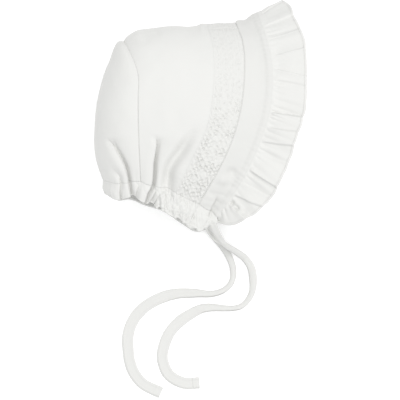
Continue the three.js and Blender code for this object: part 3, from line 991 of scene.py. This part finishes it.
def jersey_material(name, color):
    """White cotton jersey: fine columns of stitches, a little fuzz, and slight unevenness of tone."""
    material = bpy.data.materials.new(name)
    material.use_nodes = True
    tree = material.node_tree
    place = tree.nodes.new("ShaderNodeTexCoord").outputs
    shade = tree.nodes.new("ShaderNodeMix")
    shade.data_type = "RGBA"
    darker = [channel * 0.98 for channel in color]
    fill_in(tree, shade, {"Factor": noise(tree, place, 55, 3), "A": (*darker, 1), "B": (*color, 1)})
    columns = knit(tree, place, "X", {"Distortion": 0.6, "Detail": 1})
    rows = knit(tree, place, "DIAGONAL", {"Distortion": 0.8})
    height = added(tree, added(tree, columns, rows), noise(tree, place, 1400, 2))
    bump = tree.nodes.new("ShaderNodeBump")
    fill_in(tree, bump, {"Height": height, "Strength": 0.35, "Distance": KNIT_RIDGE})
    fill_in(tree, tree.nodes["Principled BSDF"], {
        "Base Color": shade.outputs["Result"], "Normal": bump.outputs["Normal"], "Roughness": 0.93,
        "Specular IOR Level": 0.2, "Sheen Weight": 0.08, "Sheen Roughness": 0.5})
    return material


def floor_material():
    material = bpy.data.materials.new("floor")
    material.use_nodes = True
    fill_in(material.node_tree, material.node_tree.nodes["Principled BSDF"], {
        "Base Color": (0.88, 0.88, 0.88, 1), "Roughness": 1, "Specular IOR Level": 0,
        "Emission Color": (1, 1, 1, 1), "Emission Strength": 0.25})
    return material


# Light and floor

def make_light():
    world = bpy.data.worlds.new("soft_box")
    bpy.context.scene.world = world
    world.use_nodes = True
    fill_in(world.node_tree, world.node_tree.nodes["Background"],
            {"Color": (*SKY_COLOR, 1), "Strength": SKY_STRENGTH})
    light = bpy.data.lights.new("key", "AREA")
    light.shape = "SQUARE"
    light.size = LIGHT_SIZE
    light.energy = LIGHT_POWER
    light.color = LIGHT_COLOR
    key = add_object("key", light)
    key.location = x, y, z = LIGHT_PLACE
    key.rotation_euler = (math.atan2(math.hypot(x, y), z), 0, math.atan2(x, -y))
    settings = bpy.context.scene.view_settings
    settings.view_transform = "Standard"
    settings.look = "None"


def make_floor():
    mesh = bpy.data.meshes.new("floor")
    corners = [(x * FLOOR_REACH, y * FLOOR_REACH, 0) for x, y in ((-1, -1), (1, -1), (1, 1), (-1, 1))]
    mesh.from_pydata(corners, [], [(0, 1, 2, 3)])
    mesh.materials.append(floor_material())
    add_object("floor", mesh)


# Making

def finish_piece(piece, material, node=None):
    piece.data.materials.append(material)
    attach(piece, "root")
    if node:
        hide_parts(node)


make_camera()

tie_jersey = jersey_material("tie_jersey", CLOTH_COLOR)
for tie_name, tie_facts in TIES.items():
    tie_piece, tie_middle = tie(f"tie_{tie_name}_tube", tie_facts)
    finish_piece(tie_piece, tie_jersey, f"tie_{tie_name}")

crown_surface = over_crown("back", "smocking", CROWN_FOLD, CROWN_NECK)
smocking_surface = over_crown("smocking", "front_band")
band_surface = over_crown("front_band", "ruffle")
ruffle_surface = over_crown("ruffle", "ruffle_edge", inset=ruffle_inset)
back_surface = round_back()
neck_line = NeckLine([back_surface, crown_surface, smocking_surface, band_surface])

jersey = jersey_material("jersey", CLOTH_COLOR)
# painted shade: the front band's jersey has its colour darkened a little
band_jersey_painted_shade = jersey_material("band_jersey_painted_shade", BAND_PAINTED_SHADE_COLOR)
# painted shade: the smocked band's jersey and its stitches have their colour darkened a little
smocked_jersey = jersey_material("smocked_jersey", SMOCKING_PAINTED_SHADE_COLOR)

crown = cloth_wall("crown_panel_cloth", survey(crown_surface, columns=104, rows=400, crowd=0.4),
                   crown_relief, JERSEY)
finish_piece(crown.piece, jersey, "crown_panel")

back_grid = survey(back_surface, columns=170, rows=180, across=(-1, 1), down=(0.02, 1))
back = cloth_wall("back_panel_cloth", back_grid, back_relief, JERSEY, sewn=sewn_to_crown)
finish_piece(back.piece, jersey, "back_panel")

smocking = cloth_wall("smocked_band_cloth", survey(smocking_surface, columns=54, rows=820, crowd=0.4),
                      smocking_relief, SMOCKING, sewn=sewn_beside(crown))
finish_piece(smocking.piece, smocked_jersey, "smocked_band")
smocking_thread = smocking_stitches("smocking_stitches", smocking)
finish_piece(smocking_thread, smocked_jersey)

band = cloth_wall("front_band_cloth", survey(band_surface, columns=48, rows=520), band_relief, BAND,
                  sewn=sewn_beside(smocking))
finish_piece(band.piece, band_jersey_painted_shade, "front_band")
band_column = np.argmin(abs(band.place.across[0] - strip_start(0.5) - 0.06))
band_thread = running_stitch("front_band_stitches", band, np.s_[:, band_column])
finish_piece(band_thread, jersey)

ruffle = cloth_wall("ruffle_cloth", survey(ruffle_surface, columns=48, rows=860), ruffle_relief, RUFFLE,
                    thinning=lambda place: rounded_end(place.right, 0.001), sewn=sewn_beside(band))
finish_piece(ruffle.piece, jersey, "ruffle")
ruffle_column = np.argmin(abs(ruffle.place.right.mean(axis=0) - RUFFLE_STITCHING))
ruffle_thread = running_stitch("ruffle_stitches", ruffle, np.s_[:, ruffle_column])
finish_piece(ruffle_thread, jersey)

casing_grid = survey(round_neck(), columns=820, rows=36, across=(-1, 1), down=(0, 1),
                     crowd=0, crowd_down=0.5)
casing = cloth_wall("neck_casing_cloth", casing_grid, casing_relief, CASING,
                    thinning=lambda place: rounded_end(place.end, 0.0014), sewn=sewn_to_panels)
finish_piece(casing.piece, jersey, "neck_casing")
casing_row = np.argmin(abs(casing.place.end.mean(axis=1) - CASING_STITCHING))
casing_thread = running_stitch("neck_casing_stitches", casing, casing_row)
finish_piece(casing_thread, jersey)

make_light()
make_floor()
